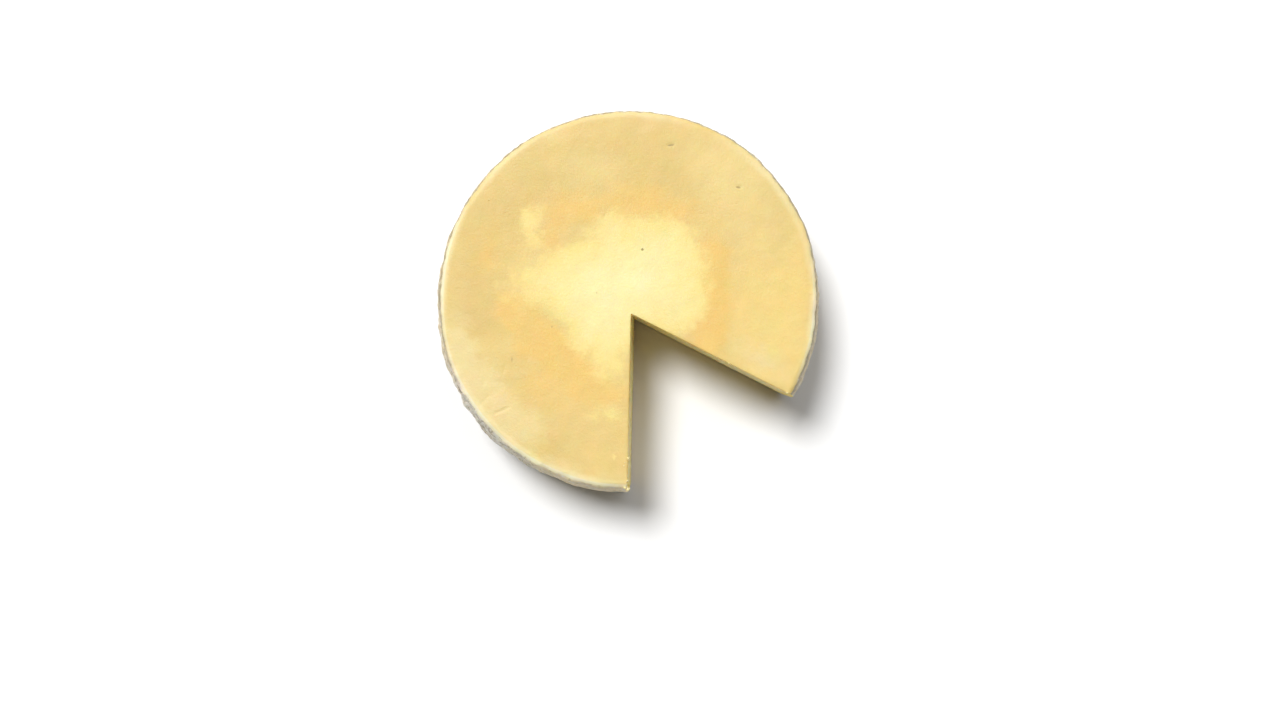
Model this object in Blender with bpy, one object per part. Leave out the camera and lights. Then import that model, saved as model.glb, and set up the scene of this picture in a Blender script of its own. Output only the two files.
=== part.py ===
"""A wheel of minas cheese with one wedge cut out of it, as a single solid.

Metres, +Z up. The origin is the middle of the underside, on the wheel's own axis.
The top view has +X to the right and +Y away from the viewer.
"""

import math

import bmesh
import bpy
from mathutils import Vector, noise

# The wheel: a low drum with a swollen side and rounded rims.
WIDEST_RADIUS = 0.0825
HEIGHT = 0.046
BELLY_HEIGHT = 0.021
SWELL = 0.0028
TOP_CORNER = 0.0028
BASE_CORNER = 0.0045

# The swell is stronger in some directions.
SWELL_CHANGES = (
    # direction in degrees, half width in degrees, share of the swell added
    (214.0, 30.0, 0.40),
    (345.0, 24.0, 0.20),
)

# The whole outline bulges at the front left, and a little at the back right.
BULGES = (
    # direction in degrees, half width in degrees, height
    (214.0, 28.0, 0.0017),
    (42.0, 30.0, 0.0008),
)

# The missing wedge. Its inner edge leans a little, as the knife did.
CUT_ANGLES = (math.radians(268.7), math.radians(333.1))
APEX_AT_TOP = Vector((0.0009, -0.0064))
APEX_AT_BASE = Vector((0.0025, -0.0055))

# Small round eyes that open on the cut faces: distance from the apex, height, radius.
EYES_ON_FIRST_CUT = (
    (0.0175, 0.0310, 0.0011),
    (0.0330, 0.0142, 0.0015),
    (0.0465, 0.0345, 0.0009),
    (0.0585, 0.0208, 0.0012),
)
EYES_ON_SECOND_CUT = (
    (0.0140, 0.0165, 0.0010),
    (0.0285, 0.0332, 0.0014),
    (0.0405, 0.0220, 0.0008),
    (0.0610, 0.0128, 0.0012),
    (0.0655, 0.0296, 0.0010),
)

# Uneven outline and rind. The crags are deepest round one direction, in degrees.
OUTLINE_WANDER = 0.00045
OUTLINE_LUMP = 0.030
CRAG_DEPTH = 0.00110
CRAG_SIZE = 0.0105
CHIP_DEPTH = 0.00080
CHIP_SIZE = 0.0058
CRAGGIEST_WAY = 214.0
CRAGGY_SPREAD = 48.0
CRAGS_ELSEWHERE = 0.55
TOP_WAVE = 0.00045
TOP_WAVE_LENGTH = 0.032

# The top and the base follow the uneven outline from this share of their radius outwards.
FOLLOWS_OUTLINE = 0.75

# Mesh fineness.
TURN_STEPS = 200
TOP_RINGS = 6
BASE_RINGS = 3
CORNER_STEPS = 3
SIDE_STEPS = 13
SHARP_FROM = math.radians(35)

RIND_COLOUR = (0.87, 0.68, 0.28, 1.0)


def clear_scene():
    for obj in list(bpy.data.objects):
        bpy.data.objects.remove(obj)


def link(name, bm):
    mesh = bpy.data.meshes.new(name)
    bm.to_mesh(mesh)
    bm.free()
    obj = bpy.data.objects.new(name, mesh)
    bpy.context.scene.collection.objects.link(obj)
    return obj


def rind_material():
    material = bpy.data.materials.new("cheese_rind")
    material.use_nodes = True
    shader = material.node_tree.nodes["Principled BSDF"]
    shader.inputs["Base Color"].default_value = RIND_COLOUR
    shader.inputs["Roughness"].default_value = 0.5
    shader.inputs["Metallic"].default_value = 0.0
    shader.inputs["Subsurface Weight"].default_value = 0.2
    return material


def side_inset(z):
    """How far the side lies inside its widest ring at height z, for a full swell."""
    reach = HEIGHT - BELLY_HEIGHT if z > BELLY_HEIGHT else BELLY_HEIGHT
    return SWELL * ((z - BELLY_HEIGHT) / reach) ** 2


def corner_arc(corner, at_base):
    """Points of a rounded rim from the side inwards, without the first."""
    centre_z = corner if at_base else HEIGHT - corner
    centre_r = WIDEST_RADIUS - side_inset(centre_z) - corner
    points = []
    for step in range(1, CORNER_STEPS + 1):
        turn = math.pi / 2 * step / CORNER_STEPS
        rise = corner * math.sin(turn)
        z = centre_z - rise if at_base else centre_z + rise
        points.append((centre_r + corner * math.cos(turn), z))
    return points


def profile():
    """Half outline (radius, height) from the top's middle down to the base's middle."""
    top = corner_arc(TOP_CORNER, at_base=False)
    base = corner_arc(BASE_CORNER, at_base=True)
    plate = [(top[-1][0] * ring / TOP_RINGS, HEIGHT) for ring in range(TOP_RINGS)]
    side = []
    for step in range(SIDE_STEPS + 1):
        share = step / SIDE_STEPS
        z = (HEIGHT - TOP_CORNER) * (1 - share) + BASE_CORNER * share
        side.append((WIDEST_RADIUS - side_inset(z), z))
    under = [(base[-1][0] * ring / BASE_RINGS, 0.0) for ring in range(BASE_RINGS)]
    return plate + top[::-1] + side + base + under[::-1]


def nearness(angle, centre, half_width):
    """Falls softly from 1 at a centre direction to nothing away from it, in degrees."""
    apart = (math.degrees(angle) - centre + 180) % 360 - 180
    return math.exp(-((apart / half_width) ** 2))


def swell_share(angle):
    """Share of the full swell in one direction."""
    share = 1.0
    for centre, half_width, change in SWELL_CHANGES:
        share += change * nearness(angle, centre, half_width)
    return share


def bulge_height(angle):
    """How far the outline bulges in one direction."""
    return sum(height * nearness(angle, way, spread) for way, spread, height in BULGES)


def crag_share(angle):
    """Share of the full depth of the crags in one direction."""
    near = nearness(angle, CRAGGIEST_WAY, CRAGGY_SPREAD)
    return CRAGS_ELSEWHERE + (1 - CRAGS_ELSEWHERE) * near


def relief(point):
    """How one point of the perfect wheel moves: its outline, rind crags and soft top."""
    radius = math.hypot(point.x, point.y)
    if radius < 1e-6 or point.z <= 0:
        return Vector()
    angle = math.atan2(point.y, point.x)
    outward = Vector((math.cos(angle), math.sin(angle), 0))
    rim = WIDEST_RADIUS - TOP_CORNER - SWELL
    edge = (radius / rim - FOLLOWS_OUTLINE) / (1 - FOLLOWS_OUTLINE)
    edge = min(1.0, max(0.0, edge))

    wander = noise.noise(outward * (WIDEST_RADIUS / OUTLINE_LUMP)) * OUTLINE_WANDER
    calm = side_inset(point.z) * (1 - swell_share(angle))
    lift = max(0.0, 1 - abs(point.z / HEIGHT * 2 - 1) ** 6)
    crag = noise.noise(point / CRAG_SIZE) * CRAG_DEPTH
    chip = noise.noise(point / CHIP_SIZE) * CHIP_DEPTH
    rough = (crag + chip) * crag_share(angle) * lift
    wave = noise.noise(point / TOP_WAVE_LENGTH) * TOP_WAVE * (point.z / HEIGHT) ** 4
    large = wander + bulge_height(angle) + calm
    return outward * (large * edge + rough) + Vector((0, 0, wave))


def wheel():
    bm = bmesh.new()
    verts = [bm.verts.new((r, 0, z)) for r, z in profile()]
    edges = [bm.edges.new(pair) for pair in zip(verts, verts[1:])]
    bmesh.ops.spin(
        bm,
        geom=verts + edges,
        cent=(0, 0, 0),
        axis=(0, 0, 1),
        angle=2 * math.pi,
        steps=TURN_STEPS,
        use_merge=True,
    )
    bmesh.ops.remove_doubles(bm, verts=bm.verts, dist=1e-6)
    for vert in bm.verts:
        vert.co += relief(vert.co.copy())
    bmesh.ops.recalc_face_normals(bm, faces=bm.faces)
    obj = link("cheese_wheel", bm)
    obj.data.materials.append(rind_material())
    obj.data.shade_smooth()
    obj.data.set_sharp_from_angle(angle=SHARP_FROM)
    return obj


def direction(angle):
    return Vector((math.cos(angle), math.sin(angle)))


def apex_at(z):
    return APEX_AT_BASE.lerp(APEX_AT_TOP, z / HEIGHT)


def wedge_cutter():
    """The missing wedge as a prism that runs past the top, the base and the side."""
    past = 0.010
    reach = 2.2 * WIDEST_RADIUS
    bm = bmesh.new()
    rings = []
    for z in (-past, HEIGHT + past):
        apex = apex_at(z)
        corners = [apex] + [apex + direction(angle) * reach for angle in CUT_ANGLES]
        rings.append([bm.verts.new((corner.x, corner.y, z)) for corner in corners])
    low, high = rings
    bm.faces.new(low[::-1])
    bm.faces.new(high)
    for i in range(3):
        j = (i + 1) % 3
        bm.faces.new((low[i], low[j], high[j], high[i]))
    bmesh.ops.recalc_face_normals(bm, faces=bm.faces)
    return link("wedge_cutter", bm)


def eye_cutter(name, centre, radius):
    bm = bmesh.new()
    bmesh.ops.create_icosphere(bm, subdivisions=2, radius=radius)
    bmesh.ops.translate(bm, verts=bm.verts, vec=centre)
    return link(name, bm)


def eye_cutters():
    """Balls whose middles lie on the cut faces, so that each leaves half a hole."""
    cutters = []
    faces = zip(CUT_ANGLES, (EYES_ON_FIRST_CUT, EYES_ON_SECOND_CUT))
    for face, (angle, eyes) in enumerate(faces, start=1):
        for number, (distance, z, radius) in enumerate(eyes, start=1):
            spot = apex_at(z) + direction(angle) * distance
            name = f"eye_{face}_{number}"
            cutters.append(eye_cutter(name, (spot.x, spot.y, z), radius))
    return cutters


def cut(obj, cutters, name):
    """Takes the cutters away from the object with one exact Boolean."""
    collection = bpy.data.collections.new(name)
    bpy.context.scene.collection.children.link(collection)
    for cutter in cutters:
        bpy.context.scene.collection.objects.unlink(cutter)
        collection.objects.link(cutter)
        cutter.hide_render = True
        cutter.display_type = "WIRE"
    modifier = obj.modifiers.new(name, "BOOLEAN")
    modifier.operation = "DIFFERENCE"
    modifier.solver = "EXACT"
    modifier.operand_type = "COLLECTION"
    modifier.collection = collection


def main():
    clear_scene()
    cheese = wheel()
    cut(cheese, [wedge_cutter()], "wedge")
    cut(cheese, eye_cutters(), "eyes")


main()
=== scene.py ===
"""Looks of a wheel of minas cheese with one wedge cut out of it.

Metres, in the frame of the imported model: the origin is the middle of the underside, +Z is
up, and the missing wedge opens towards -Y and +X.
"""

import math

import bmesh
import bpy
import numpy as np
from mathutils import Matrix, Vector, noise
from mathutils.geometry import delaunay_2d_cdt


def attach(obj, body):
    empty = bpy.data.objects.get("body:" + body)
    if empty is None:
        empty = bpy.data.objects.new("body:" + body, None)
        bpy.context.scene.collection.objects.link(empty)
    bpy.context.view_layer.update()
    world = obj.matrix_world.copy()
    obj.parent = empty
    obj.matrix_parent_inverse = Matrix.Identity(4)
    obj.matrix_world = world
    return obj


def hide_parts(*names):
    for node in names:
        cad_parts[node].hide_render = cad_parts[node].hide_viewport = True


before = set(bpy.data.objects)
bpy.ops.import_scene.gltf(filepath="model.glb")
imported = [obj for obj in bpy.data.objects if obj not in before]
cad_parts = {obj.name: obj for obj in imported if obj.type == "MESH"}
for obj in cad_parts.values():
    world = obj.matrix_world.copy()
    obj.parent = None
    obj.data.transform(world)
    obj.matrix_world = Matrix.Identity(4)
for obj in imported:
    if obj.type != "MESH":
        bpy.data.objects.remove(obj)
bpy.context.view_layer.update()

# The wheel, with the sizes of its solid.
WIDEST_RADIUS = 0.0825
HEIGHT = 0.046
BELLY_HEIGHT = 0.021
SWELL = 0.0028
TOP_CORNER = 0.0028
BASE_CORNER = 0.0045
SWELL_CHANGES = (
    # direction in degrees, half width in degrees, share of the swell added
    (214.0, 30.0, 0.40),
    (345.0, 24.0, 0.20),
)
BULGES = (
    # direction in degrees, half width in degrees, height
    (214.0, 28.0, 0.0017),
    (42.0, 30.0, 0.0008),
)

# The missing wedge, whose inner edge leans a little. The cheese runs from the second cut
# anticlockwise round to the first.
FIRST_CUT = math.radians(268.7)
SECOND_CUT = math.radians(333.1)
APEX_AT_TOP = np.array((0.0009, -0.0064))
APEX_AT_BASE = np.array((0.0025, -0.0055))

# Eyes on the cut faces: distance from the apex, height, radius.
EYES_ON_FIRST_CUT = (
    (0.0175, 0.0310, 0.0011),
    (0.0330, 0.0142, 0.0015),
    (0.0465, 0.0345, 0.0009),
    (0.0585, 0.0208, 0.0012),
)
EYES_ON_SECOND_CUT = (
    (0.0140, 0.0165, 0.0010),
    (0.0285, 0.0332, 0.0014),
    (0.0405, 0.0220, 0.0008),
    (0.0610, 0.0128, 0.0012),
    (0.0655, 0.0296, 0.0010),
)

# Pinholes on the top: x, y, radius.
PINHOLES = (
    (0.0057, 0.0208, 0.00042),
    (-0.0592, 0.0413, 0.00030),
)

# Large unevenness, as on the solid. The crags are deepest round one direction.
OUTLINE_WANDER = 0.00045
OUTLINE_LUMP = 0.030
CRAG_DEPTH = 0.00110
CRAG_SIZE = 0.0105
CHIP_DEPTH = 0.00080
CHIP_SIZE = 0.0058
CRAGGIEST_WAY = 214.0
CRAGGY_SPREAD = 48.0
CRAGS_ELSEWHERE = 0.55
TOP_WAVE = 0.00045
TOP_WAVE_LENGTH = 0.032
FOLLOWS_OUTLINE = 0.75

# Fine unevenness: height, then the size of one lump.
SIDE_KNOB, SIDE_KNOB_SIZE = 0.00050, 0.0038
KNOB_GAIN, KNOB_LEVEL = 1.6, 0.4
SIDE_GRAIN, SIDE_GRAIN_SIZE = 0.00030, 0.0015
SIDE_PIT, SIDE_PIT_SPACING, SIDE_PIT_REACH = 0.00060, 0.0090, 0.14
SIDE_RANGE = 0.0008
RIM_GROOVE, RIM_GROOVE_HEIGHT, RIM_GROOVE_WIDTH = 0.00022, 0.0420, 0.0013
RIM_DENT, RIM_DENT_SIZE = 0.00045, 0.0055
TOP_LUMP, TOP_LUMP_SIZE = 0.00010, 0.0065
TOP_GRAIN, TOP_GRAIN_SIZE = 0.00004, 0.0025
CUT_WAVE, CUT_WAVE_SIZE = 0.00012, 0.0160
KNIFE_LINE, KNIFE_LINE_WIDTH, KNIFE_LINE_LENGTH = 0.00006, 0.0022, 0.030
KNIFE_LINE_LAYER = 5

# Creases on the top: x, y, length, direction in degrees, depth, width.
CREASES = (
    (-0.0532, -0.0471, 0.0066, 22.0, 0.00019, 0.0006),
    (-0.0605, -0.0349, 0.0050, 65.0, 0.00011, 0.0009),
    (-0.0600, -0.0425, 0.0075, 48.0, 0.00008, 0.0009),
    (-0.0560, -0.0352, 0.0090, -6.0, 0.00009, 0.0010),
    (-0.0525, -0.0300, 0.0050, 75.0, 0.00009, 0.0009),
    (0.0178, 0.0652, 0.0034, 6.0, 0.00020, 0.0006),
    (0.0463, 0.0472, 0.0026, -8.0, 0.00022, 0.0006),
)

# Mesh fineness.
COLUMNS = 700
CORNER_ROWS = 7
SIDE_ROWS = 58
TOP_STEP = 0.00090
CREASE_STEP = 0.00042
BASE_STEP = 0.0020
CUT_STEP = 0.00080
EDGE_STEP = 0.00080
EDGE_SUPPORT = 0.00035
SHARP_FROM = math.radians(52)

# The cut edges are eased by this much, and less within the second length of the apex.
EDGE_ROUND = 0.00010
EDGE_ROUND_FADE = 0.002

# How far lattice points stray and keep away from an edge or an eye, in lattice steps, and
# how far round a crease the lattice is finer, in crease lengths.
STRAY = 0.12
KEEP_OFF_EDGE = 0.5
KEEP_OFF_EYE = 0.4
CREASE_REACH = 0.75
PLATE_SEED = 3
CUT_SEED = 5

# Rings of points at an eye, as share of its radius and number of points, and its form.
EYE_RINGS = ((0.38, 8), (0.70, 14), (0.90, 20), (1.0, 24), (1.12, 24), (1.5, 20))
EYE_OVAL = 0.07
EYE_CORNERS = 0.04
EYE_TURN = 900.0
EYE_DEPTH = 0.95

# Crumbs: cut, distance from the apex, way onto the top, size.
CRUMBS = (
    ("first", 0.0608, -0.0002, 0.00075),
    ("first", 0.0626, 0.0012, 0.00035),
    ("first", 0.0640, 0.0016, 0.00030),
    ("first", 0.0702, -0.0001, 0.00040),
    ("first", 0.0738, -0.0003, 0.00095),
    ("first", 0.0731, 0.0009, 0.00060),
    ("second", 0.0740, -0.0001, 0.00040),
    ("second", 0.0462, -0.0001, 0.00030),
)
CRUMB_SEED = 11
CRUMB_LIFT = 0.25
CRUMB_STRETCH = (0.7, 1.25)
CRUMB_LUMP, CRUMB_LUMP_SIZE = 0.55, 1.3

# Camera and light.
CAMERA_PLACE = Vector((0.0007, -0.0495, 0.600))
CAMERA_AIM = Vector((0.0050, -0.0240, 0.0))
CAMERA_LENS = 37.06
CAMERA_SENSOR = 36.0
KEY_FROM = Vector((-0.34, 0.43, 1.0))
KEY_WIDTH = math.radians(22)
KEY_STRENGTH = 3.27
SOFT_FROM = Vector((0.45, 0.50, 1.0))
SOFT_WIDTH = math.radians(50)
SOFT_STRENGTH = 0.70
FILL_STRENGTH = 0.08
FLOOR_SIZE = 40.0
FLOOR_GAP = 0.00015

RIND, PASTE = 0, 1

# What the mesh carries at each point: how high the rough rind of the side is, and how far
# the skin belongs to the top. Then the values on a cut face and at the top's inner corner.
MARKS = ("crag", "lid")
PLAIN = (0.5, 0.0)
ON_TOP = (0.5, 1.0)

# What a fill keeps of its triangles, and how close points are merged.
INSIDE_ONLY = 1
MERGE_WITHIN = 1e-9


def link(name, data):
    obj = bpy.data.objects.new(name, data)
    bpy.context.scene.collection.objects.link(obj)
    return obj


def direction(angle):
    return np.array((math.cos(angle), math.sin(angle)))


def apex_at(z):
    return APEX_AT_BASE + (APEX_AT_TOP - APEX_AT_BASE) * (z / HEIGHT)


class Cut:
    """One flat cut face: its direction from the apex, and the way into the cheese."""

    def __init__(self, angle, side):
        self.angle = angle
        self.run = direction(angle)
        self.inward = Vector((-math.sin(angle), math.cos(angle), 0)) * side

    def point(self, distance, z, depth=0.0):
        flat = apex_at(z) + self.run * distance
        return Vector((*flat, z)) + self.inward * depth

    def distance(self, point):
        """How far a point lies from the apex, along the cut."""
        return float((np.array(point.xy) - apex_at(point.z)) @ self.run)

    def edge_point(self, point, outward):
        """A skin point brought onto the cut, then eased inwards for a rounded edge."""
        distance = self.distance(point)
        ease = EDGE_ROUND * min(1.0, distance / EDGE_ROUND_FADE)
        return self.point(distance, point.z, ease) - outward * ease


CUTS = {"first": Cut(FIRST_CUT + math.tau, -1), "second": Cut(SECOND_CUT, 1)}


def side_inset(z):
    """How far the side lies inside its widest ring at height z, for a full swell."""
    reach = HEIGHT - BELLY_HEIGHT if z > BELLY_HEIGHT else BELLY_HEIGHT
    return SWELL * ((z - BELLY_HEIGHT) / reach) ** 2


def nearness(angle, centre, half_width):
    """Falls softly from 1 at a centre direction to nothing away from it, in degrees."""
    apart = (math.degrees(angle) - centre + 180) % 360 - 180
    return math.exp(-((apart / half_width) ** 2))


def swell_share(angle):
    """Share of the full swell in one direction."""
    share = 1.0
    for centre, half_width, change in SWELL_CHANGES:
        share += change * nearness(angle, centre, half_width)
    return share


def bulge_height(angle):
    """How far the outline bulges in one direction."""
    return sum(height * nearness(angle, way, spread) for way, spread, height in BULGES)


def crag_share(angle):
    """Share of the full depth of the crags in one direction."""
    near = nearness(angle, CRAGGIEST_WAY, CRAGGY_SPREAD)
    return CRAGS_ELSEWHERE + (1 - CRAGS_ELSEWHERE) * near


def large_relief(point):
    """How a point of the perfect wheel moves, as on the solid."""
    radius = math.hypot(point.x, point.y)
    if radius < 1e-6 or point.z <= 0:
        return Vector()
    angle = math.atan2(point.y, point.x)
    outward = Vector((math.cos(angle), math.sin(angle), 0))
    rim = WIDEST_RADIUS - TOP_CORNER - SWELL
    edge = (radius / rim - FOLLOWS_OUTLINE) / (1 - FOLLOWS_OUTLINE)
    edge = min(1.0, max(0.0, edge))

    wander = noise.noise(outward * (WIDEST_RADIUS / OUTLINE_LUMP)) * OUTLINE_WANDER
    calm = side_inset(point.z) * (1 - swell_share(angle))
    lift = max(0.0, 1 - abs(point.z / HEIGHT * 2 - 1) ** 6)
    crag = noise.noise(point / CRAG_SIZE) * CRAG_DEPTH
    chip = noise.noise(point / CHIP_SIZE) * CHIP_DEPTH
    rough = (crag + chip) * crag_share(angle) * lift
    wave = noise.noise(point / TOP_WAVE_LENGTH) * TOP_WAVE * (point.z / HEIGHT) ** 4
    large = wander + bulge_height(angle) + calm
    return outward * (large * edge + rough) + Vector((0, 0, wave))


def side_relief(point):
    """Height of the rough rind on the side: knobs with creases between, pits and grain."""
    knob = KNOB_GAIN * abs(noise.noise(point / SIDE_KNOB_SIZE)) - KNOB_LEVEL
    grain = noise.noise(point / SIDE_GRAIN_SIZE)
    nearest = noise.voronoi(point / SIDE_PIT_SPACING)[0][0]
    pit = math.sqrt(max(0.0, 1 - nearest / SIDE_PIT_REACH))
    height = knob * SIDE_KNOB + grain * SIDE_GRAIN - pit * SIDE_PIT
    groove = math.exp(-(((point.z - RIM_GROOVE_HEIGHT) / RIM_GROOVE_WIDTH) ** 2))
    return height * crag_share(math.atan2(point.y, point.x)) - groove * RIM_GROOVE


def crease_depth(point):
    """Depth of the creases on the top at one point."""
    depth = 0.0
    for x, y, length, degrees, deepest, width in CREASES:
        turn = math.radians(degrees)
        dx, dy = point.x - x, point.y - y
        along = 2 * (dx * math.cos(turn) + dy * math.sin(turn)) / length
        if abs(along) < 2:
            across = (dy * math.cos(turn) - dx * math.sin(turn)) / width
            depth += deepest * math.exp(-(along**4) - across**2)
    return depth


def top_relief(point):
    """Height of the soft lumps and creases on the top at one point."""
    lump = noise.noise(point / TOP_LUMP_SIZE) * TOP_LUMP
    grain = noise.noise(point / TOP_GRAIN_SIZE) * TOP_GRAIN
    return lump + grain - crease_depth(point)


def cut_relief(distance, z):
    """Depth of the slow waves and knife lines on a cut face."""
    wave = noise.noise(Vector((distance, z, 0)) / CUT_WAVE_SIZE) * CUT_WAVE
    line = Vector((distance / KNIFE_LINE_WIDTH, z / KNIFE_LINE_LENGTH, KNIFE_LINE_LAYER))
    return wave + noise.noise(line) * KNIFE_LINE


def skin_point(flat, z, tilt, depth=0.0):
    """A point of the uneven skin, its outward direction, which tilt raises from level, and
    its marks."""
    point = Vector((*flat, z))
    outward = Vector((*flat, 0)).normalized() * math.cos(tilt)
    outward.z = math.sin(tilt)
    upright = math.cos(tilt) ** 2
    rough = side_relief(point) * upright if upright > 1e-9 else 0.0
    height = rough - depth
    lid = max(0.0, math.sin(tilt))
    if lid > 0:
        dent = noise.noise(point / RIM_DENT_SIZE) * RIM_DENT * math.sin(2 * tilt)
        height += top_relief(point) * lid + dent
    crag = min(1.0, max(0.0, 0.5 + rough / SIDE_RANGE))
    return point + large_relief(point) + outward * height, outward, (crag, lid)


def corner_middle(corner, at_base):
    """Radius and height of the middle that a rounded rim turns about."""
    z = corner if at_base else HEIGHT - corner
    return WIDEST_RADIUS - side_inset(z) - corner, z


def corner_arc(corner, at_base):
    """Radius, height and tilt of a rounded rim, from the side inwards."""
    middle_radius, middle_z = corner_middle(corner, at_base)
    way = -1 if at_base else 1
    rows = []
    for step in range(1, CORNER_ROWS + 1):
        turn = math.pi / 2 * step / CORNER_ROWS
        radius = middle_radius + corner * math.cos(turn)
        rows.append((radius, middle_z + way * corner * math.sin(turn), way * turn))
    return rows


def side_rows():
    """Radius, height and tilt of each ring from the top's rim down to the base's."""
    rows = corner_arc(TOP_CORNER, at_base=False)[::-1]
    for step in range(SIDE_ROWS + 1):
        share = step / SIDE_ROWS
        z = (HEIGHT - TOP_CORNER) * (1 - share) + BASE_CORNER * share
        rows.append((WIDEST_RADIUS - side_inset(z), z, 0.0))
    return rows + corner_arc(BASE_CORNER, at_base=True)


class Skin:
    """Vertices and faces gathered for one closed mesh."""

    def __init__(self):
        self.points = []
        self.marks = []
        self.faces = []
        self.slots = []

    def add(self, point, marks=PLAIN):
        self.points.append(Vector(point))
        self.marks.append(marks)
        return len(self.points) - 1

    def face(self, corners, slot):
        self.faces.append(corners)
        self.slots.append(slot)

    def fill(self, border, border_flat, inner, inner_flat, slot):
        """Triangles between a closed border and the points inside it, laid out flat."""
        numbers = [*border, *inner]
        flat = [Vector(spot) for spot in (*border_flat, *inner_flat)]
        count = len(border)
        edges = [(i, (i + 1) % count) for i in range(count)]
        result = delaunay_2d_cdt(flat, edges, [], INSIDE_ONLY, MERGE_WITHIN)
        faces, sources = result[2], result[3]
        for corners in faces:
            self.face([numbers[sources[corner][0]] for corner in corners], slot)

    def to_object(self, name, materials):
        mesh = bpy.data.meshes.new(name)
        mesh.from_pydata(self.points, [], self.faces)
        for material in materials:
            mesh.materials.append(material)
        mesh.polygons.foreach_set("material_index", self.slots)
        for mark, values in zip(MARKS, zip(*self.marks)):
            mesh.attributes.new(mark, "FLOAT", "POINT").data.foreach_set("value", values)
        bm = bmesh.new()
        bm.from_mesh(mesh)
        bmesh.ops.recalc_face_normals(bm, faces=bm.faces)
        bm.to_mesh(mesh)
        bm.free()
        mesh.shade_smooth()
        mesh.set_sharp_from_angle(angle=SHARP_FROM)
        return link(name, mesh)


def lattice(low, high, step, seed):
    """Points of a triangular lattice over a rectangle, each a little out of line."""
    rows = []
    for number, y in enumerate(np.arange(low[1], high[1], step * math.sqrt(3) / 2)):
        xs = np.arange(low[0] + number % 2 * step / 2, high[0], step)
        rows.append(np.column_stack((xs, np.full(len(xs), y))))
    points = np.concatenate(rows)
    return points + np.random.default_rng(seed).uniform(-STRAY, STRAY, points.shape) * step


def well_inside(points, outline, gap):
    """The points inside a closed outline that keep a gap to it."""
    inside = np.zeros(len(points), dtype=bool)
    clear = np.ones(len(points), dtype=bool)
    for start, end in zip(outline, np.roll(outline, -1, axis=0)):
        run = end - start
        offset = points - start
        along = np.clip(offset @ run / (run @ run), 0, 1)
        apart = offset - along[:, None] * run
        clear &= (apart**2).sum(axis=1) > gap**2
        if run[1] != 0:
            spans = (start[1] > points[:, 1]) != (end[1] > points[:, 1])
            inside ^= spans & (offset[:, 0] < offset[:, 1] * run[0] / run[1])
    return points[inside & clear]


def inset(outline, gap):
    """An anticlockwise outline's points moved inwards, which keeps its edge tight."""
    run = np.roll(outline, -1, axis=0) - np.roll(outline, 1, axis=0)
    left = np.column_stack((-run[:, 1], run[:, 0]))
    return outline + left / np.linalg.norm(left, axis=1)[:, None] * gap


def eye_points(x, y, radius):
    """Points on and round a small hole that isn't quite round, with their depths."""
    spots, depths = [(x, y)], [radius]
    for share, count in EYE_RINGS:
        for step in range(count):
            turn = math.tau * (step + 0.5 * (count % 4 == 0)) / count
            oval = EYE_OVAL * math.sin(2 * turn + x * EYE_TURN)
            corners = EYE_CORNERS * math.sin(3 * turn + y * EYE_TURN)
            reach = radius * share * (1 + oval + corners)
            spots.append((x + reach * math.cos(turn), y + reach * math.sin(turn)))
            depths.append(EYE_DEPTH * radius * math.sqrt(max(0.0, 1 - share**2)))
    return spots, depths


def finer(points, x, y, radius, step, seed):
    """The points with those round one spot replaced by a finer lattice."""
    middle = np.array((x, y))
    close = lattice(middle - radius, middle + radius, step, seed)
    close = close[np.linalg.norm(close - middle, axis=1) < radius]
    return np.concatenate((points[np.linalg.norm(points - middle, axis=1) > radius], close))


def inner_points(outline, step, eyes, creases, seed):
    """Points to fill an outline with, and how deep each lies: a lattice that is finer at
    the creases, a row along the edge, and rings at the eyes."""
    outline = np.array(outline)
    points = lattice(outline.min(axis=0), outline.max(axis=0), step, seed)
    for x, y, length, *_ in creases:
        points = finer(points, x, y, CREASE_REACH * length, CREASE_STEP, seed)
    points = well_inside(points, outline, EDGE_SUPPORT + KEEP_OFF_EDGE * step)
    points = np.concatenate((points, inset(outline, EDGE_SUPPORT)))
    for x, y, radius in eyes:
        apart = np.linalg.norm(points - (x, y), axis=1)
        points = points[apart > radius * EYE_RINGS[-1][0] + KEEP_OFF_EYE * step]
    depths = [0.0] * len(points)
    for eye in eyes:
        spots, eye_depths = eye_points(*eye)
        points = np.concatenate((points, spots))
        depths += eye_depths
    return points, depths


def build_side(skin):
    """The side with both rounded rims, as a grid that runs round from cut to cut."""
    start, end = CUTS["second"].angle, CUTS["first"].angle
    support = EDGE_SUPPORT / WIDEST_RADIUS
    angles = [start, *np.linspace(start + support, end - support, COLUMNS - 1), end]
    cut_at = {0: CUTS["second"], COLUMNS: CUTS["first"]}
    grid = []
    for radius, z, tilt in side_rows():
        apex = apex_at(z)
        ring = []
        for column, angle in enumerate(angles):
            along = float(apex @ direction(angle))
            distance = math.sqrt(along**2 - float(apex @ apex) + radius**2) - along
            flat = apex + direction(angle) * distance
            point, outward, marks = skin_point(flat, z, tilt)
            if column in cut_at:
                point = cut_at[column].edge_point(point, outward)
            ring.append((skin.add(point, marks), flat))
        grid.append(ring)
    for upper, lower in zip(grid, grid[1:]):
        for c in range(COLUMNS):
            corners = (upper[c], lower[c], lower[c + 1], upper[c + 1])
            skin.face([number for number, _ in corners], RIND)
    return grid


def edge_of_cut(skin, cut, z, tilt, end):
    """Vertices along a cut's top or bottom edge, without the apex and the rim."""
    length = float((end - apex_at(z)) @ cut.run)
    edge = []
    for distance in np.linspace(0, length, round(length / EDGE_STEP) + 1)[1:-1]:
        flat = apex_at(z) + cut.run * distance
        point, outward, marks = skin_point(flat, z, tilt)
        edge.append((skin.add(cut.edge_point(point, outward), marks), flat))
    return edge


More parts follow.
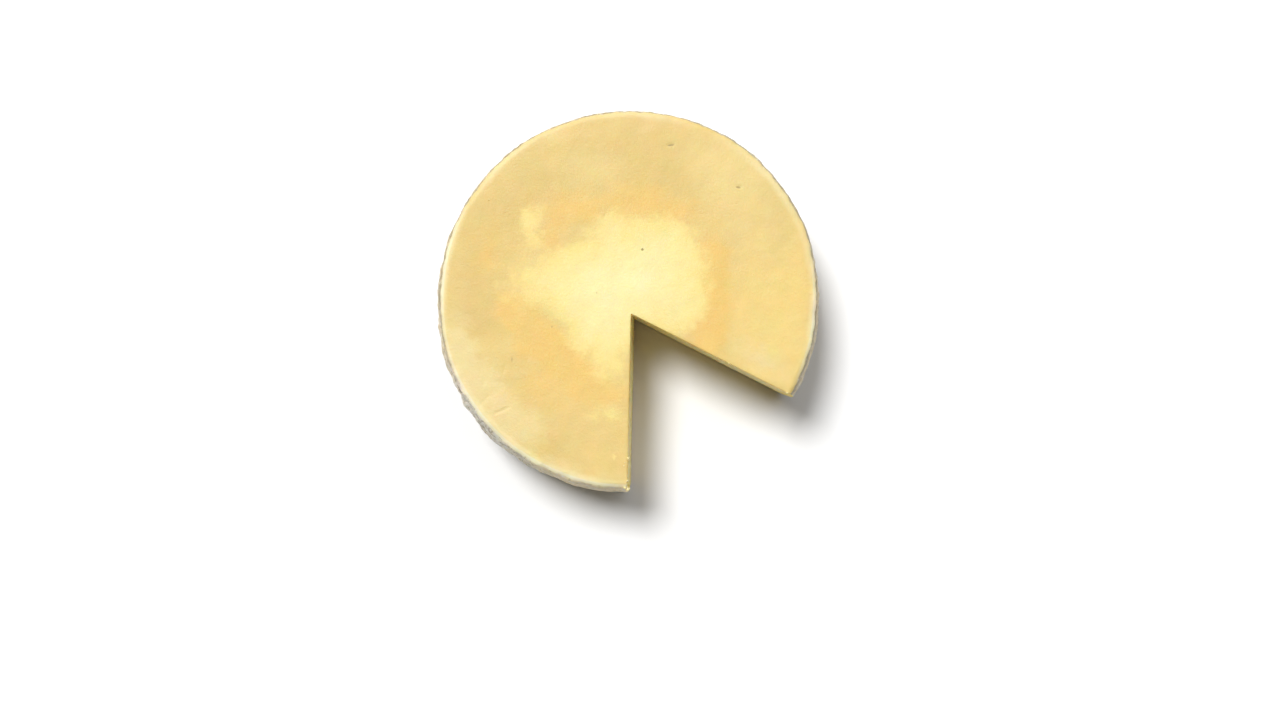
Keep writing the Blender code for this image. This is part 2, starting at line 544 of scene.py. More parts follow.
def build_plate(skin, z, tilt, ring, apex, step, holes, creases):
    """The top or the base, and the two edges that it shares with the cut faces."""
    second_edge = edge_of_cut(skin, CUTS["second"], z, tilt, ring[0][1])
    first_edge = edge_of_cut(skin, CUTS["first"], z, tilt, ring[-1][1])
    border = [(apex, apex_at(z)), *second_edge, *ring, *first_edge[::-1]]
    outline = [flat for _, flat in border]
    spots, depths = inner_points(outline, step, holes, creases, PLATE_SEED)
    inner = []
    for flat, depth in zip(spots, depths):
        point, _, marks = skin_point(flat, z, tilt, depth)
        inner.append(skin.add(point, marks))
    skin.fill([number for number, _ in border], outline, inner, spots, RIND)
    return {"first": first_edge, "second": second_edge}


def build_cut(skin, cut, top_edge, rim, base_edge, apex_line, eyes):
    """A flat cut face with its eyes, between edges that the skin already has."""
    border = [apex_line[-1], *base_edge, *rim[::-1], *top_edge[::-1], *apex_line[:-1]]
    outline = []
    for number in border:
        point = skin.points[number]
        outline.append((cut.distance(point), point.z))
    spots, depths = inner_points(outline, CUT_STEP, eyes, (), CUT_SEED)
    inner = []
    for (distance, z), depth in zip(spots, depths):
        inner.append(skin.add(cut.point(distance, z, depth + cut_relief(distance, z))))
    skin.fill(border, outline, inner, spots, PASTE)


def build_cheese(materials):
    skin = Skin()
    grid = build_side(skin)
    apex_line = []
    for z in np.linspace(HEIGHT, 0, round(HEIGHT / EDGE_STEP) + 1):
        lift = large_relief(Vector((*apex_at(z), z))).z if z == HEIGHT else 0.0
        marks = ON_TOP if z == HEIGHT else PLAIN
        apex_line.append(skin.add((*apex_at(z), z + lift), marks))
    upright = math.pi / 2
    top = build_plate(
        skin, HEIGHT, upright, grid[0], apex_line[0], TOP_STEP, PINHOLES, CREASES
    )
    base = build_plate(skin, 0.0, -upright, grid[-1], apex_line[-1], BASE_STEP, (), ())
    columns = {"first": COLUMNS, "second": 0}
    eyes = {"first": EYES_ON_FIRST_CUT, "second": EYES_ON_SECOND_CUT}
    for name, cut in CUTS.items():
        rim = [ring[columns[name]][0] for ring in grid]
        top_edge = [number for number, _ in top[name]]
        base_edge = [number for number, _ in base[name]]
        build_cut(skin, cut, top_edge, rim, base_edge, apex_line, eyes[name])
    return skin.to_object("cheese", materials)


def rim_drop(point):
    """How far the rounded rim lies below the top at one point."""
    corner_starts, _ = corner_middle(TOP_CORNER, at_base=False)
    beyond = math.hypot(point.x, point.y) - corner_starts
    beyond = min(TOP_CORNER, max(0.0, beyond))
    return TOP_CORNER - math.sqrt(TOP_CORNER**2 - beyond**2)


def build_crumbs(material):
    """Crumbs that stick to the edges of the cuts, as one mesh of small rough lumps."""
    rng = np.random.default_rng(CRUMB_SEED)
    bm = bmesh.new()
    for name, distance, onto_top, size in CRUMBS:
        place = CUTS[name].point(distance, HEIGHT, onto_top)
        place.z += size * CRUMB_LIFT - rim_drop(place)
        place += large_relief(place)
        lump = bmesh.ops.create_icosphere(bm, subdivisions=3, radius=1.0)["verts"]
        stretch = Vector(rng.uniform(*CRUMB_STRETCH, 3))
        shift = Vector(rng.uniform(0, 50, 3))
        for vert in lump:
            swell = 1 + CRUMB_LUMP * noise.noise(vert.co * CRUMB_LUMP_SIZE + shift)
            vert.co = place + vert.co * stretch * swell * size
    mesh = bpy.data.meshes.new("crumbs")
    bm.to_mesh(mesh)
    bm.free()
    mesh.shade_smooth()
    mesh.materials.append(material)
    return link("crumbs", mesh)


# Light that falls on the top, and the light that the paste's colours are judged against.
LIGHT_ON_TOP = 1.15
LIGHT_ON_PASTE = 1.0
BRIGHTEST_PAINT = 0.95


def seen(red, green, blue, light=LIGHT_ON_TOP):
    """The paint for a colour that is to be seen as these 8-bit values in a light."""
    channels = []
    for value in (red, green, blue):
        share = value / 255
        linear = share / 12.92 if share < 0.04045 else ((share + 0.055) / 1.055) ** 2.4
        channels.append(min(BRIGHTEST_PAINT, linear / light))
    return (*channels, 1.0)


BASE_TONE = seen(237, 208, 131)
DULL = seen(231, 201, 122)
STRAW = seen(243, 218, 143)
GOLD = seen(247, 218, 134)
SOFT_CREAM = seen(243, 221, 156)
AMBER = seen(244, 206, 117)
CREAM = seen(252, 229, 144)
PALE = seen(253, 236, 163)
PALEST = seen(254, 243, 178)
# Paler rind in a band inside the rim, partly a painted highlight of the rounded rim catching
# light.
RIM_CREAM_AND_HIGHLIGHT = seen(250, 232, 172)
# Painted light on the rounded rim where it turns down from the top.
RIM_PALE_PAINTED_LIGHT = seen(255, 248, 214)
# Brown flecks on the top; in the creases and one pinhole they are painted shade.
FLECK_AND_CREASE_SHADE = seen(176, 148, 92)
SIDE_GREY = seen(224, 208, 172)
SIDE_STRAW = seen(236, 214, 162)
# A creamy side colour, painted light where the side lies in shade.
SIDE_CREAM_PAINTED_LIGHT = seen(255, 236, 186)
BLOOM = seen(246, 242, 230)
# Dark olive of the side's pits, and painted shade in its hollows.
PIT_AND_HOLLOW_SHADE = seen(146, 128, 88)
# Painted shade under the rounded rim.
UNDER_RIM_PAINTED_SHADE = seen(150, 134, 98)
UNDERSIDE = seen(230, 210, 156)
PASTE_IVORY = seen(250, 226, 142, LIGHT_ON_PASTE)
PASTE_PALE = seen(250, 231, 160, LIGHT_ON_PASTE)
PASTE_YELLOW = seen(250, 215, 114, LIGHT_ON_PASTE)
PASTE_RIND = seen(240, 200, 108, LIGHT_ON_PASTE)
CRUMB = seen(250, 236, 184)
FLOOR_GREY = (0.90, 0.90, 0.90, 1.0)
FLOOR_WHITE = (0.92, 0.92, 0.92, 1.0)

# Soft patches on the top: x, y, half length, half width, direction in degrees, strength.
DULL_PATCHES = (
    (-0.0640, 0.0150, 0.0150, 0.0330, 0.0, 0.8),
    (-0.0480, 0.0385, 0.0300, 0.0200, 40.0, 0.9),
    (0.0180, 0.0500, 0.0270, 0.0135, -5.0, 1.0),
    (-0.0365, -0.0630, 0.0165, 0.0110, 0.0, 1.1),
    (-0.0080, 0.0630, 0.0450, 0.0110, 5.0, 0.8),
    (0.0660, 0.0175, 0.0090, 0.0220, 0.0, 0.5),
    (-0.0590, -0.0085, 0.0170, 0.0140, 0.0, 0.8),
    (-0.0622, -0.0268, 0.0090, 0.0070, 0.0, 1.0),
    (-0.0300, 0.0510, 0.0200, 0.0100, 0.0, 0.35),
    (0.0080, 0.0530, 0.0200, 0.0090, 0.0, 0.4),
    (-0.0680, -0.0120, 0.0060, 0.0120, 0.0, 0.5),
)
STRAW_PATCHES = (
    (0.0445, 0.0510, 0.0315, 0.0230, -45.0, 1.0),
    (-0.0160, 0.0570, 0.0240, 0.0090, 0.0, 0.6),
    (0.0530, 0.0230, 0.0200, 0.0160, 0.0, 0.5),
    (-0.0330, 0.0690, 0.0110, 0.0060, 25.0, 0.8),
)
GOLD_PATCHES = (
    (0.0600, -0.0200, 0.0250, 0.0250, 0.0, 1.1),
    (0.0540, 0.0040, 0.0250, 0.0230, 0.0, 0.9),
    (0.0700, 0.0080, 0.0100, 0.0250, 0.0, 0.7),
    (-0.0150, -0.0650, 0.0180, 0.0130, 0.0, 0.3),
)
SOFT_CREAM_PATCHES = (
    (-0.0640, -0.0360, 0.0300, 0.0150, -55.0, 1.1),
    (-0.0520, -0.0520, 0.0240, 0.0140, -40.0, 1.0),
    (-0.0400, -0.0530, 0.0120, 0.0090, 0.0, 0.5),
    (-0.0715, -0.0180, 0.0090, 0.0200, 0.0, 0.8),
    (-0.0160, -0.0755, 0.0300, 0.0060, 0.0, 0.4),
    (-0.0300, -0.0705, 0.0150, 0.0060, -25.0, 0.7),
    (0.0570, -0.0260, 0.0210, 0.0080, -28.0, 0.7),
)
AMBER_PATCHES = (
    (-0.0210, 0.0380, 0.0190, 0.0110, 0.0, 1.0),
    (0.0060, 0.0400, 0.0190, 0.0130, 0.0, 1.1),
    (0.0230, 0.0370, 0.0120, 0.0090, 0.0, 0.6),
    (-0.0320, 0.0250, 0.0080, 0.0140, 0.0, 0.7),
    (-0.0480, -0.0035, 0.0125, 0.0115, 0.0, 1.3),
    (-0.0390, -0.0140, 0.0200, 0.0120, -45.0, 1.0),
    (-0.0230, -0.0290, 0.0220, 0.0130, -45.0, 1.1),
    (-0.0110, -0.0405, 0.0160, 0.0090, 0.0, 0.9),
    (0.0355, -0.0020, 0.0110, 0.0290, 0.0, 1.15),
    (0.0335, 0.0190, 0.0140, 0.0115, -20.0, 1.05),
    (0.0310, -0.0170, 0.0110, 0.0100, 0.0, 0.8),
    (-0.0350, -0.0370, 0.0230, 0.0150, -30.0, 0.6),
    (-0.0600, 0.0195, 0.0130, 0.0200, 0.0, 0.5),
    (-0.0430, -0.0205, 0.0100, 0.0090, 0.0, 0.6),
)
PALE_PATCHES = (
    (0.0030, 0.0085, 0.0380, 0.0330, 0.0, 1.75),
    (-0.0180, 0.0020, 0.0230, 0.0180, 0.0, 0.45),
    (-0.0370, 0.0070, 0.0290, 0.0190, 0.0, 0.65),
    (0.0190, 0.0270, 0.0190, 0.0150, 0.0, 0.30),
    (0.0260, -0.0060, 0.0130, 0.0170, 0.0, 0.4),
    (-0.0410, 0.0320, 0.0090, 0.0150, -15.0, 0.75),
    (-0.0330, 0.0200, 0.0180, 0.0120, 35.0, 0.20),
    (-0.0080, 0.0310, 0.0070, 0.0110, 0.0, 0.40),
    (-0.0085, -0.0210, 0.0150, 0.0280, 0.0, 0.75),
    (-0.0205, -0.0110, 0.0170, 0.0130, 0.0, 0.4),
    (-0.0100, -0.0485, 0.0150, 0.0070, 0.0, 0.45),
    (-0.0225, -0.0180, 0.0085, 0.0085, 0.0, 0.45),
    (-0.0062, -0.0664, 0.0022, 0.0020, 0.0, 0.60),
)
# Dark flecks on the top, those in the creases and one pinhole painted shade: x, y, half
# length, half width, direction in degrees, strength.
FLECK_AND_CREASE_SHADE_SPOTS = (
    (0.0178, 0.0652, 0.0020, 0.0006, 6.0, 1.0),
    (0.0463, 0.0472, 0.0015, 0.0006, -8.0, 1.0),
    (0.0057, 0.0208, 0.0008, 0.0008, 0.0, 1.0),
    (-0.0324, -0.0119, 0.0009, 0.0009, 0.0, 0.45),
    (-0.0492, -0.0257, 0.0008, 0.0022, 0.0, 0.40),
    (-0.0136, 0.0024, 0.0007, 0.0007, 0.0, 0.4),
    (-0.0530, -0.0462, 0.0040, 0.0006, 27.0, 0.25),
)
# Where the side is whitish, with small dark pits, right up to the rim, and painted lighter
# there as painted light for a side that lies in shade.
WHITISH_PAINTED_LIGHT_PATCHES = ((-0.0600, -0.0550, 0.0450, 0.0450, 0.0, 1.8),)
# Where the side is as creamy as the rim above it, painted lighter as painted light where it
# lies in shade.
CREAMY_PAINTED_LIGHT_PATCHES = ((-0.0150, -0.0800, 0.0520, 0.0260, 0.0, 1.8),)
# Where the rounded rim is painted paler, as painted light that makes up for its shade where it
# turns down away from the lamp.
RIM_PAINTED_LIGHT_PATCHES = (
    (-0.0600, -0.0550, 0.0500, 0.0500, 0.0, 1.8),
    (-0.0820, 0.0150, 0.0200, 0.0400, 0.0, 1.2),
    (-0.0250, -0.0800, 0.0450, 0.0200, 0.0, 1.2),
    (0.0800, -0.0100, 0.0180, 0.0400, 0.0, 0.9),
)
# Where the band inside the rim is palest: paler rind there, with a painted highlight where the
# rounded rim catches light.
RIM_CREAM_AND_HIGHLIGHT_PATCHES = (
    (-0.0560, -0.0580, 0.0420, 0.0420, 0.0, 1.6),
    (-0.0800, 0.0150, 0.0150, 0.0400, 0.0, 1.3),
    (-0.0560, 0.0600, 0.0400, 0.0250, 45.0, 1.0),
    (0.0620, 0.0480, 0.0400, 0.0200, -45.0, 1.0),
    (0.0800, -0.0050, 0.0150, 0.0400, 0.0, 1.2),
    (0.0000, 0.0800, 0.0500, 0.0120, 0.0, 0.8),
    (-0.0250, -0.0780, 0.0400, 0.0120, 0.0, 1.2),
)
# Each tint of the top, with its greatest share and its patches, in the order of painting.
TOP_TINTS = (
    (DULL, 0.9, DULL_PATCHES),
    (STRAW, 0.9, STRAW_PATCHES),
    (GOLD, 0.9, GOLD_PATCHES),
    (SOFT_CREAM, 0.9, SOFT_CREAM_PATCHES),
    (AMBER, 0.95, AMBER_PATCHES),
)
# Each tint of the pale middle, with the strengths between which it comes in.
PALE_TINTS = ((CREAM, 0.15, 0.62), (PALE, 0.45, 1.15), (PALEST, 0.95, 1.80))

# Patterns of soft lumps: size of one lump, detail, roughness, and the noise values between
# which a lump comes in.
SIDE_TONES = (0.018, 5.0, 0.62, 0.40, 0.62)
SIDE_DUST = (0.026, 4.0, 0.5, 0.38, 0.62)
SMALL_PITS = (0.0019, 4.0, 0.65, 0.46, 0.37)
SMALL_SPECKS = (0.0019, 4.0, 0.65, 0.55, 0.63)
UNDER_RIM_PAINTED_SHADE_BREAKS = (0.0050, 4.0, 0.6, 0.30, 0.55)
UNDERSIDE_TONES = (0.014, 5.0, 0.5, 0.35, 0.65)
PASTE_TONES = (0.009, 5.0, 0.6, 0.35, 0.65)
CRUMB_TONES = (0.0008, 3.0, 0.5, 0.35, 0.65)

# Wandering values: size of one lump, detail, roughness, lowest and highest value.
TOP_MOTTLE = (0.0060, 5.0, 0.62, -0.42, 0.42)
RIM_BAND_WOBBLE = (0.0090, 3.0, 0.5, -0.0016, 0.0016)
SIDE_MOTTLE = (0.0024, 5.0, 0.72, -0.40, 0.40)
TOP_EDGE_WOBBLE = (0.0045, 4.0, 0.65, -0.25, 0.25)
BROAD_SHADE = (0.008, 4.0, 0.55, 0.965, 1.035)
FINE_SHADE = (0.0016, 3.0, 0.6, 0.975, 1.025)
RIND_ROUGHNESS = (0.006, 4.0, 0.6, 0.42, 0.62)
PASTE_WOBBLE = (0.006, 3.0, 0.5, -0.0012, 0.0012)
PASTE_ROUGHNESS = (0.004, 4.0, 0.5, 0.48, 0.62)
CRUMB_ROUGHNESS = 0.55
FLOOR_ROUGHNESS = 0.7

# Layers of fine bumps: size of one lump, detail, roughness, height.
RIND_GRAIN = ((0.0011, 3.0, 0.65, 0.00016), (0.00040, 2.0, 0.6, 0.00005))
PASTE_GRAIN = ((0.0013, 4.0, 0.6, 0.00010),)
CRUMB_GRAIN = ((0.0004, 3.0, 0.5, 0.00008),)

# Finishes: shine, share of the light that goes inside, and how deep.
RIND_FINISH = (0.42, 0.30, 0.0022)
PASTE_FINISH = (0.12, 0.80, 0.0070)
CRUMB_FINISH = (0.20, 0.30, 0.0010)
DEPTH_OF_COLOURS = (1.0, 0.72, 0.42)

# The top: how its patches get ragged (size of one lump, shift), where tints and bands start
# and end, and greatest shares.
RAGGED = ((0.018, 0.0040), (0.0060, 0.0045), (0.0022, 0.0020))
TINT_STEP = (0.0, 0.85)
FLECK_AND_CREASE_SHADE_STEP = (0.05, 0.60)
FLECK_AND_CREASE_SHADE_SHARE = 0.75
RIM_BAND = (0.0755, 0.0785)
RIM_CREAM_AND_HIGHLIGHT_SHARE = 0.85
RIM_TURNS_DOWN = (0.999, 0.93)
RIM_PALE_PAINTED_LIGHT_SHARE = 0.80
TOP_BEGINS = (0.62, 0.82)

# The side: heights of its rough rind between which things come in, and their shares; the
# hollows get their own darker colour with painted shade, and the band under the rim is painted
# shade. The last two are shares outside and inside the whitish patch.
KNOB_TOPS = (0.42, 0.95)
HOLLOWS_PAINTED_SHADE = (0.42, 0.0)
HOLLOW_PAINTED_SHADE_SHARE = 0.60
DUST_SHARES = (0.35, 0.85)
SPECK_SHARES = (0.2, 0.9)
WHITISH_PAINTED_LIGHT_SHARE = 0.60
CREAMY_PAINTED_LIGHT_SHARE = 0.75
UNDER_RIM_PAINTED_SHADE_BAND = (0.03, 0.40)
SMALL_PIT_SHARES = (0.30, 0.75)
UNDER_RIM_PAINTED_SHADE_SHARES = (0.65, 0.15)

# The underside begins between these heights, which wander by this much.
UNDERSIDE_BEGINS = (0.0030, 0.0004)
UNDERSIDE_WOBBLE = 0.003

# Blotches that shift the rind's hue: size of one lump, detail, roughness, then the least
# factors of red, green and blue, and what the noise adds to them.
BLOTCHES = (0.0085, 4.0, 0.62)
BLOTCH_LEAST = (0.92, 0.94, 0.87)
BLOTCH_SPAN = (0.16, 0.12, 0.26)

# The paste: depths below the surface where its yellow and its rind end, and its pores.
YELLOW_ZONE = (0.0010, 0.0080)
RIND_ZONE = (0.0001, 0.0012)
SIDE_RIND = 0.001
PORE_SPACING = 0.0026
PORE_STEP = (0.11, 0.05)
PORE_SHARE = 0.45

FLOOR_TONES = (0.4, 2.0, 0.5)


class Look:
    """A material whose nodes are added by short calls."""

    def __init__(self, name):
        self.material = bpy.data.materials.new(name)
        self.material.use_nodes = True
        self.tree = self.material.node_tree
        self.shader = self.tree.nodes["Principled BSDF"]
        self.place = self.add("ShaderNodeTexCoord").outputs["Object"]
        self.plan = self.vector("MULTIPLY", {0: self.place, 1: (1.0, 1.0, 0.0)})

    def add(self, kind, inputs=None, **settings):
        node = self.tree.nodes.new(kind)
        for key, value in settings.items():
            setattr(node, key, value)
        for key, value in (inputs or {}).items():
            self.feed(node.inputs[key], value)
        return node

    def feed(self, socket, value):
        if isinstance(value, bpy.types.NodeSocket):
            self.tree.links.new(value, socket)
        else:
            socket.default_value = value

    def combine(self, operation, first, second):
        inputs = {0: first, 1: second}
        return self.add("ShaderNodeMath", inputs, operation=operation).outputs[0]

    def plus(self, first, second):
        return self.combine("ADD", first, second)

    def less(self, first, second):
        return self.combine("SUBTRACT", first, second)

    def times(self, first, second):
        return self.combine("MULTIPLY", first, second)

    def lower(self, first, second):
        return self.combine("MINIMUM", first, second)

    def higher(self, first, second):
        return self.combine("MAXIMUM", first, second)

    def vector(self, operation, inputs, output=0):
        node = self.add("ShaderNodeVectorMath", inputs, operation=operation)
        return node.outputs[output]

    def step(self, value, low, high):
        """A soft step from 0 at low to 1 at high."""
        inputs = {"Value": value, "From Min": low, "From Max": high}
        kind = "ShaderNodeMapRange"
        return self.add(kind, inputs, interpolation_type="SMOOTHSTEP").outputs["Result"]

    def between(self, value, low, high):
        """Takes a value from 0 to 1 to the range from low to high."""
        inputs = {"Value": value, "To Min": low, "To Max": high}
        return self.add("ShaderNodeMapRange", inputs).outputs["Result"]

    def noise(self, size, detail, rough, at=None, output="Fac"):
        inputs = {
            "Vector": at or self.place,
            "Scale": 1 / size,
            "Detail": detail,
            "Roughness": rough,
        }
        return self.add("ShaderNodeTexNoise", inputs).outputs[output]

    def lumps(self, size, detail, rough, low, high):
        """A pattern of soft lumps, from 0 to 1."""
        return self.step(self.noise(size, detail, rough), low, high)

    def wander(self, size, detail, rough, low, high):
        """A value that wanders between low and high over the surface."""
        return self.between(self.noise(size, detail, rough), low, high)

    def cells(self, size):
        """Distance to the nearest of many scattered points, in units of their spacing."""
        inputs = {"Vector": self.place, "Scale": 1 / size}
        return self.add("ShaderNodeTexVoronoi", inputs).outputs["Distance"]

    def mix(self, share, first, second):
        inputs = {0: share, 6: first, 7: second}
        return self.add("ShaderNodeMix", inputs, data_type="RGBA").outputs[2]

    def shift(self, at, size, amount):
        """Places moved about by noise, so that what is drawn there gets ragged edges."""
        jitter = self.noise(size, 2.0, 0.5, at=at, output="Color")
        middle = self.vector("SUBTRACT", {0: jitter, 1: (0.5, 0.5, 0.5)})
        scaled = self.vector("SCALE", {0: middle, "Scale": amount})
        return self.vector("ADD", {0: at, 1: scaled})

    def patches(self, patches, at):
        """The sum of soft elliptical patches."""
        total = 0.0
        for x, y, length, width, degrees, strength in patches:
            mapped = self.add(
                "ShaderNodeMapping",
                {
                    "Vector": at,
                    "Location": (x, y, 0.0),
                    "Rotation": (0.0, 0.0, math.radians(degrees)),
                    "Scale": (length, width, 1.0),
                },
                vector_type="TEXTURE",
            ).outputs[0]
            ball = self.add(
                "ShaderNodeTexGradient",
                {"Vector": mapped},
                gradient_type="SPHERICAL",
            ).outputs["Fac"]
            total = self.plus(total, self.times(ball, strength))
        return total

    def carried(self, name):
        """A value that the mesh carries at each of its points."""
        return self.add("ShaderNodeAttribute", attribute_name=name).outputs["Fac"]

    def height(self):
        return self.add("ShaderNodeSeparateXYZ", {0: self.place}).outputs["Z"]

    def radius(self):
        return self.vector("LENGTH", {0: self.plan}, "Value")

    def grain(self, layers):
        """Layers of fine bumps, each on top of the one before."""
        normal = None
        for size, detail, rough, depth in layers:
            height = self.noise(size, detail, rough)
            inputs = {"Height": height, "Distance": depth, "Strength": 1.0}
            if normal is not None:
                inputs["Normal"] = normal
            normal = self.add("ShaderNodeBump", inputs).outputs["Normal"]
        return normal

    def finish(self, colour, rough, normal, shine, translucency, depth):
        values = {
            "Base Color": colour,
            "Roughness": rough,
            "Normal": normal,
            "Metallic": 0.0,
            "Specular IOR Level": shine,
            "Subsurface Weight": translucency,
            "Subsurface Radius": DEPTH_OF_COLOURS,
            "Subsurface Scale": depth,
        }
        for key, value in values.items():
            self.feed(self.shader.inputs[key], value)
        return self.material


def top_colour(look):
    """The top: beige to straw, amber blotches round a pale cream middle; a paler band inside
    the rim with a painted highlight, painted light on the rounded rim where it turns down, and
    dark flecks that also paint shade into creases and one pinhole.
    """
    ragged = look.plan
    for size, amount in RAGGED:
        ragged = look.shift(ragged, size, amount)
    mottle = look.wander(*TOP_MOTTLE)
    colour = BASE_TONE
    for tint, most, patches in TOP_TINTS:
        share = look.step(look.plus(look.patches(patches, ragged), mottle), *TINT_STEP)
        colour = look.mix(look.times(share, most), colour, tint)
    pale = look.plus(look.patches(PALE_PATCHES, ragged), mottle)
    for tint, low, high in PALE_TINTS:
        colour = look.mix(look.step(pale, low, high), colour, tint)

    # A band inside the rim: paler rind, and a painted highlight of the rounded rim.
    band = look.step(look.plus(look.radius(), look.wander(*RIM_BAND_WOBBLE)), *RIM_BAND)
    rim = look.times(band, look.patches(RIM_CREAM_AND_HIGHLIGHT_PATCHES, ragged))
    colour = look.mix(look.lower(rim, RIM_CREAM_AND_HIGHLIGHT_SHARE), colour, RIM_CREAM_AND_HIGHLIGHT)
    # Painted light on the rounded rim, which makes up for its shade where it turns down.
    turned = look.step(look.carried("lid"), *RIM_TURNS_DOWN)
    rim_painted_light = look.times(turned, look.patches(RIM_PAINTED_LIGHT_PATCHES, ragged))
    colour = look.mix(look.lower(rim_painted_light, RIM_PALE_PAINTED_LIGHT_SHARE), colour, RIM_PALE_PAINTED_LIGHT)

    # Dark flecks, and painted shade in the creases and one pinhole.
    fleck_and_crease_shade = look.step(look.patches(FLECK_AND_CREASE_SHADE_SPOTS, look.plan), *FLECK_AND_CREASE_SHADE_STEP)
    return look.mix(look.times(fleck_and_crease_shade, FLECK_AND_CREASE_SHADE_SHARE), colour, FLECK_AND_CREASE_SHADE)


def side_colour(look):
    """The side: straw to grey rind, whiter on its knobs and darker in its pits, with painted
    shade in its hollows and in a band under the rim, and painted lighter at the front where it
    lies in shade.
    """
    colour = look.mix(look.lumps(*SIDE_TONES), SIDE_GREY, SIDE_STRAW)
    height = look.plus(look.carried("crag"), look.wander(*SIDE_MOTTLE))
    dusty = look.between(look.lumps(*SIDE_DUST), *DUST_SHARES)
    # Patches painted lighter, as painted light where the side lies in shade: whitish at the
    # front left, creamy at the front.
    whitish_painted_light = look.lower(look.patches(WHITISH_PAINTED_LIGHT_PATCHES, look.plan), 1.0)
    creamy_painted_light = look.lower(look.patches(CREAMY_PAINTED_LIGHT_PATCHES, look.plan), 1.0)

    bloom = look.times(look.step(height, *KNOB_TOPS), dusty)
    bloom = look.higher(bloom, look.times(whitish_painted_light, WHITISH_PAINTED_LIGHT_SHARE))
    colour = look.mix(bloom, colour, BLOOM)
    # Darker where the rind lies low: its own pit colour with painted shade.
    hollows_painted_shade = look.step(height, *HOLLOWS_PAINTED_SHADE)
    colour = look.mix(look.times(hollows_painted_shade, HOLLOW_PAINTED_SHADE_SHARE), colour, PIT_AND_HOLLOW_SHADE)
    # Creamy side, painted lighter where it lies in shade.
    colour = look.mix(look.times(creamy_painted_light, CREAMY_PAINTED_LIGHT_SHARE), colour, SIDE_CREAM_PAINTED_LIGHT)

    pits = look.times(look.lumps(*SMALL_PITS), look.between(whitish_painted_light, *SMALL_PIT_SHARES))
    colour = look.mix(pits, colour, PIT_AND_HOLLOW_SHADE)
    speckled = look.higher(look.between(dusty, *SPECK_SHARES), whitish_painted_light)
    colour = look.mix(look.times(look.lumps(*SMALL_SPECKS), speckled), colour, BLOOM)

    # Painted shade in a broken band under the rim, weaker where the side is painted lighter.
    line = look.step(look.carried("lid"), *UNDER_RIM_PAINTED_SHADE_BAND)
    line = look.times(line, look.lumps(*UNDER_RIM_PAINTED_SHADE_BREAKS))
    calm = look.higher(whitish_painted_light, creamy_painted_light)
    return look.mix(look.times(line, look.between(calm, *UNDER_RIM_PAINTED_SHADE_SHARES)), colour, UNDER_RIM_PAINTED_SHADE)


def rind_material():
    """The rind: its top, side and underside, with uneven brightness and hue."""
    look = Look("cheese_rind")
    uneven = look.wander(*TOP_EDGE_WOBBLE)
    onto_top = look.step(look.plus(look.carried("lid"), uneven), *TOP_BEGINS)
    colour = look.mix(onto_top, side_colour(look), top_colour(look))
    under = look.mix(look.lumps(*UNDERSIDE_TONES), UNDERSIDE, BASE_TONE)
    low = look.plus(look.height(), look.times(uneven, UNDERSIDE_WOBBLE))
    colour = look.mix(look.step(low, *UNDERSIDE_BEGINS), colour, under)

    shade = look.times(look.wander(*BROAD_SHADE), look.wander(*FINE_SHADE))
    colour = look.vector("SCALE", {0: colour, "Scale": shade})
    blotches = look.noise(*BLOTCHES, output="Color")
    hue = look.vector("MULTIPLY_ADD", {0: blotches, 1: BLOTCH_SPAN, 2: BLOTCH_LEAST})
    colour = look.vector("MULTIPLY", {0: colour, 1: hue})
    return look.finish(
        colour, look.wander(*RIND_ROUGHNESS), look.grain(RIND_GRAIN), *RIND_FINISH
    )


def paste_material():
    """The paste of the cut faces: ivory, yellower towards the rind."""
    look = Look("cheese_paste")
    below_top = look.less(HEIGHT, look.height())
    inside_side = look.less(WIDEST_RADIUS - SIDE_RIND, look.radius())
    depth = look.lower(look.lower(below_top, look.height()), inside_side)
    depth = look.plus(depth, look.wander(*PASTE_WOBBLE))
    ivory = look.mix(look.lumps(*PASTE_TONES), PASTE_IVORY, PASTE_PALE)
    colour = look.mix(look.step(depth, *YELLOW_ZONE), PASTE_YELLOW, ivory)
    colour = look.mix(look.step(depth, *RIND_ZONE), PASTE_RIND, colour)
    pores = look.step(look.cells(PORE_SPACING), *PORE_STEP)
    colour = look.mix(look.times(pores, PORE_SHARE), colour, PASTE_RIND)
    return look.finish(
        colour, look.wander(*PASTE_ROUGHNESS), look.grain(PASTE_GRAIN), *PASTE_FINISH
    )


def crumb_material():
    """Small bits of paste that have dried a little."""
    look = Look("cheese_crumbs")
    colour = look.mix(look.lumps(*CRUMB_TONES), CRUMB, PASTE_PALE)
    return look.finish(colour, CRUMB_ROUGHNESS, look.grain(CRUMB_GRAIN), *CRUMB_FINISH)


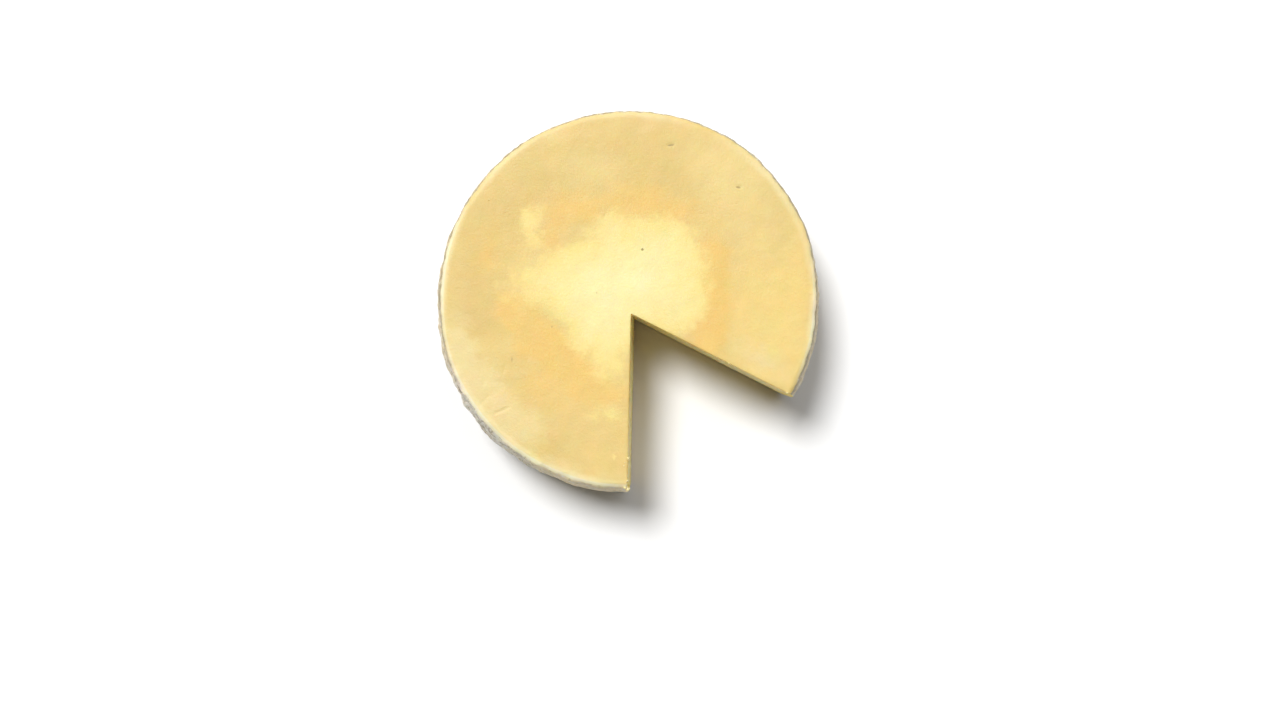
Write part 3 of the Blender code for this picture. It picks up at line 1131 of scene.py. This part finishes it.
def floor_material():
    look = Look("floor_white")
    colour = look.mix(look.noise(*FLOOR_TONES), FLOOR_GREY, FLOOR_WHITE)
    look.feed(look.shader.inputs["Base Color"], colour)
    look.feed(look.shader.inputs["Roughness"], FLOOR_ROUGHNESS)
    return look.material


def build_floor():
    mesh = bpy.data.meshes.new("floor")
    half = FLOOR_SIZE / 2
    corners = [(-half, -half), (half, -half), (half, half), (-half, half)]
    mesh.from_pydata([(x, y, -FLOOR_GAP) for x, y in corners], [], [(0, 1, 2, 3)])
    mesh.materials.append(floor_material())
    return link("floor", mesh)


def add_lamp(name, from_direction, width, strength):
    """Even soft light from one direction, whose source looks so wide from the cheese."""
    lamp = bpy.data.lights.new(name, "SUN")
    lamp.angle = width
    lamp.energy = strength
    link(name, lamp).rotation_euler = from_direction.to_track_quat("Z", "Y").to_euler()


def build_light():
    """A lamp high at the back left, a wide weak one at the back right, a white surround."""
    add_lamp("key", KEY_FROM, KEY_WIDTH, KEY_STRENGTH)
    add_lamp("soft", SOFT_FROM, SOFT_WIDTH, SOFT_STRENGTH)

    world = bpy.data.worlds.new("surround")
    world.use_nodes = True
    background = world.node_tree.nodes["Background"]
    background.inputs["Color"].default_value = (1.0, 1.0, 1.0, 1.0)
    background.inputs["Strength"].default_value = FILL_STRENGTH
    bpy.context.scene.world = world
    bpy.context.scene.view_settings.view_transform = "Standard"


def build_camera():
    camera = bpy.data.cameras.new("camera")
    camera.lens = CAMERA_LENS
    camera.sensor_width = CAMERA_SENSOR
    obj = link("camera", camera)
    obj.location = CAMERA_PLACE
    back = (CAMERA_PLACE - CAMERA_AIM).normalized()
    right = Vector((0, 1, 0)).cross(back).normalized()
    turned = Matrix((right, back.cross(right), back)).transposed()
    obj.rotation_euler = turned.to_euler()
    bpy.context.scene.camera = obj


def main():
    cheese = build_cheese([rind_material(), paste_material()])
    crumbs = build_crumbs(crumb_material())
    for piece in (cheese, crumbs):
        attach(piece, "root")
    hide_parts("cheese_wheel")
    build_floor()
    build_light()
    build_camera()


main()
